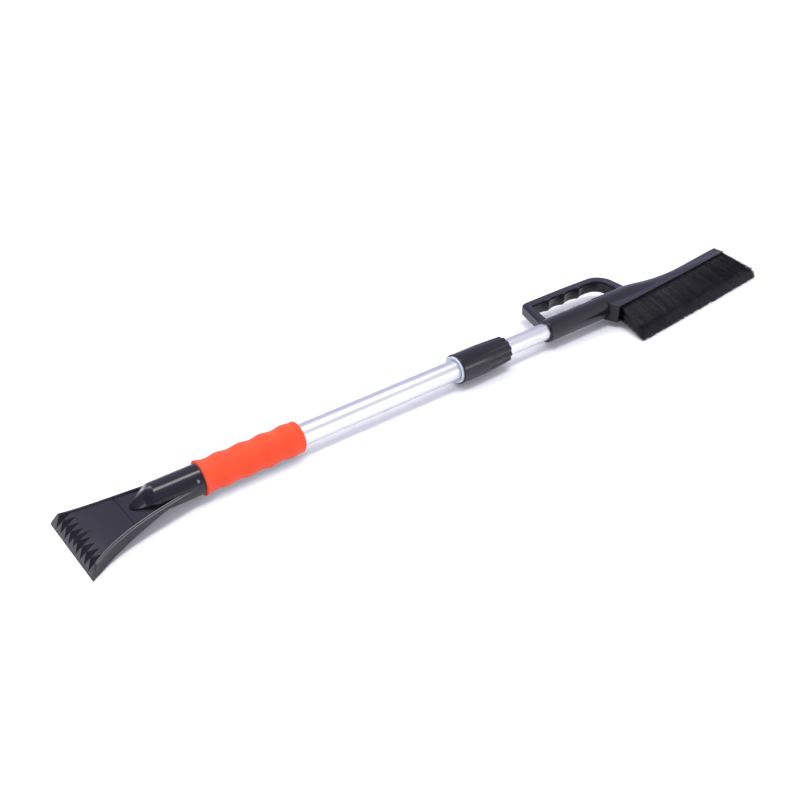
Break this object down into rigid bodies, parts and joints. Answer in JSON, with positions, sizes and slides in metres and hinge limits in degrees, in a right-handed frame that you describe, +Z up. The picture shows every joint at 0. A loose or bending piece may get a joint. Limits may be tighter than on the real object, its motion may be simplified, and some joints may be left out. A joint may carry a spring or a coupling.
{
  "type": "telescoping windshield ice scraper and snow brush",
  "caption": "Telescoping car snow brush with a flared toothed ice scraper, foam grip, twist lock collar and D-shaped hand grip beside the brush.",
  "frame": {"origin": "on the ground under the middle of the bounding box, the tool lying flat with its scraper's sole and bristles on the ground", "axes": "+X along the tool from the ice scraper to the brush, +Y towards the D-shaped hand grip, away from the bristles, +Z up"},
  "size_m": [1.001, 0.138, 0.0407],
  "materials": {
    "black_plastic": "moulded, satin",
    "aluminium": "satin anodised",
    "orange_foam": "closed-cell EVA foam, matte skin",
    "pale_nylon": "moulded, satin",
    "zinc_steel": "zinc plated",
    "bristle": "extruded polypropylene filament"
  },
  "bodies": {
    "handle": {"scraper_head": "black_plastic", "scraper_rivet": "zinc_steel", "outer_tube": "aluminium", "foam_grip": "orange_foam", "lock_ferrule": "pale_nylon"},
    "collet": {"lock_collet": "pale_nylon"},
    "collar": {"lock_collar": "black_plastic"},
    "guide": {"guide_ring": "pale_nylon"},
    "brush": {"inner_tube": "aluminium", "inner_plug": "pale_nylon", "brush_head": "black_plastic", "brush_screw": "zinc_steel", "bristle_tufts_01": "bristle", "bristle_tufts_02": "bristle", "bristle_tufts_03": "bristle", "bristle_tufts_04": "bristle", "bristle_tufts_05": "bristle", "bristle_tufts_06": "bristle", "bristle_tufts_07": "bristle", "bristle_tufts_08": "bristle", "bristle_tufts_09": "bristle", "bristle_tufts_10": "bristle", "bristle_tufts_11": "bristle", "bristle_tufts_12": "bristle", "bristle_tufts_13": "bristle", "bristle_tufts_14": "bristle", "bristle_tufts_15": "bristle", "bristle_tufts_16": "bristle", "bristle_tufts_17": "bristle", "bristle_tufts_18": "bristle", "bristle_tufts_19": "bristle", "bristle_tufts_20": "bristle", "bristle_tufts_21": "bristle", "bristle_tufts_22": "bristle", "bristle_tufts_23": "bristle", "bristle_tufts_24": "bristle", "bristle_tufts_25": "bristle", "bristle_tufts_26": "bristle"}
  },
  "joints": [
    {"name": "collet_slide", "type": "slide", "parent": "handle", "child": "collet", "axis": [1, 0, 0], "range_m": [0, 0.00225]},
    {"name": "collar_turn", "type": "hinge", "parent": "collet", "child": "collar", "pos_m": [0.01702, 0.00297, 0.0215], "axis": [1, 0, 0], "range_deg": [0, 270]},
    {"name": "extension_slide", "type": "slide", "parent": "handle", "child": "guide", "axis": [1, 0, 0], "range_m": [-0.06, 0.27]},
    {"name": "brush_turn", "type": "hinge", "parent": "guide", "child": "brush", "pos_m": [0.18952, 0.00297, 0.0215], "axis": [1, 0, 0], "continuous": true}
  ],
  "couplings": [
    {"joint": "collet_slide", "follows": "collar_turn", "m_per_rad": 0.00047746}
  ]
}
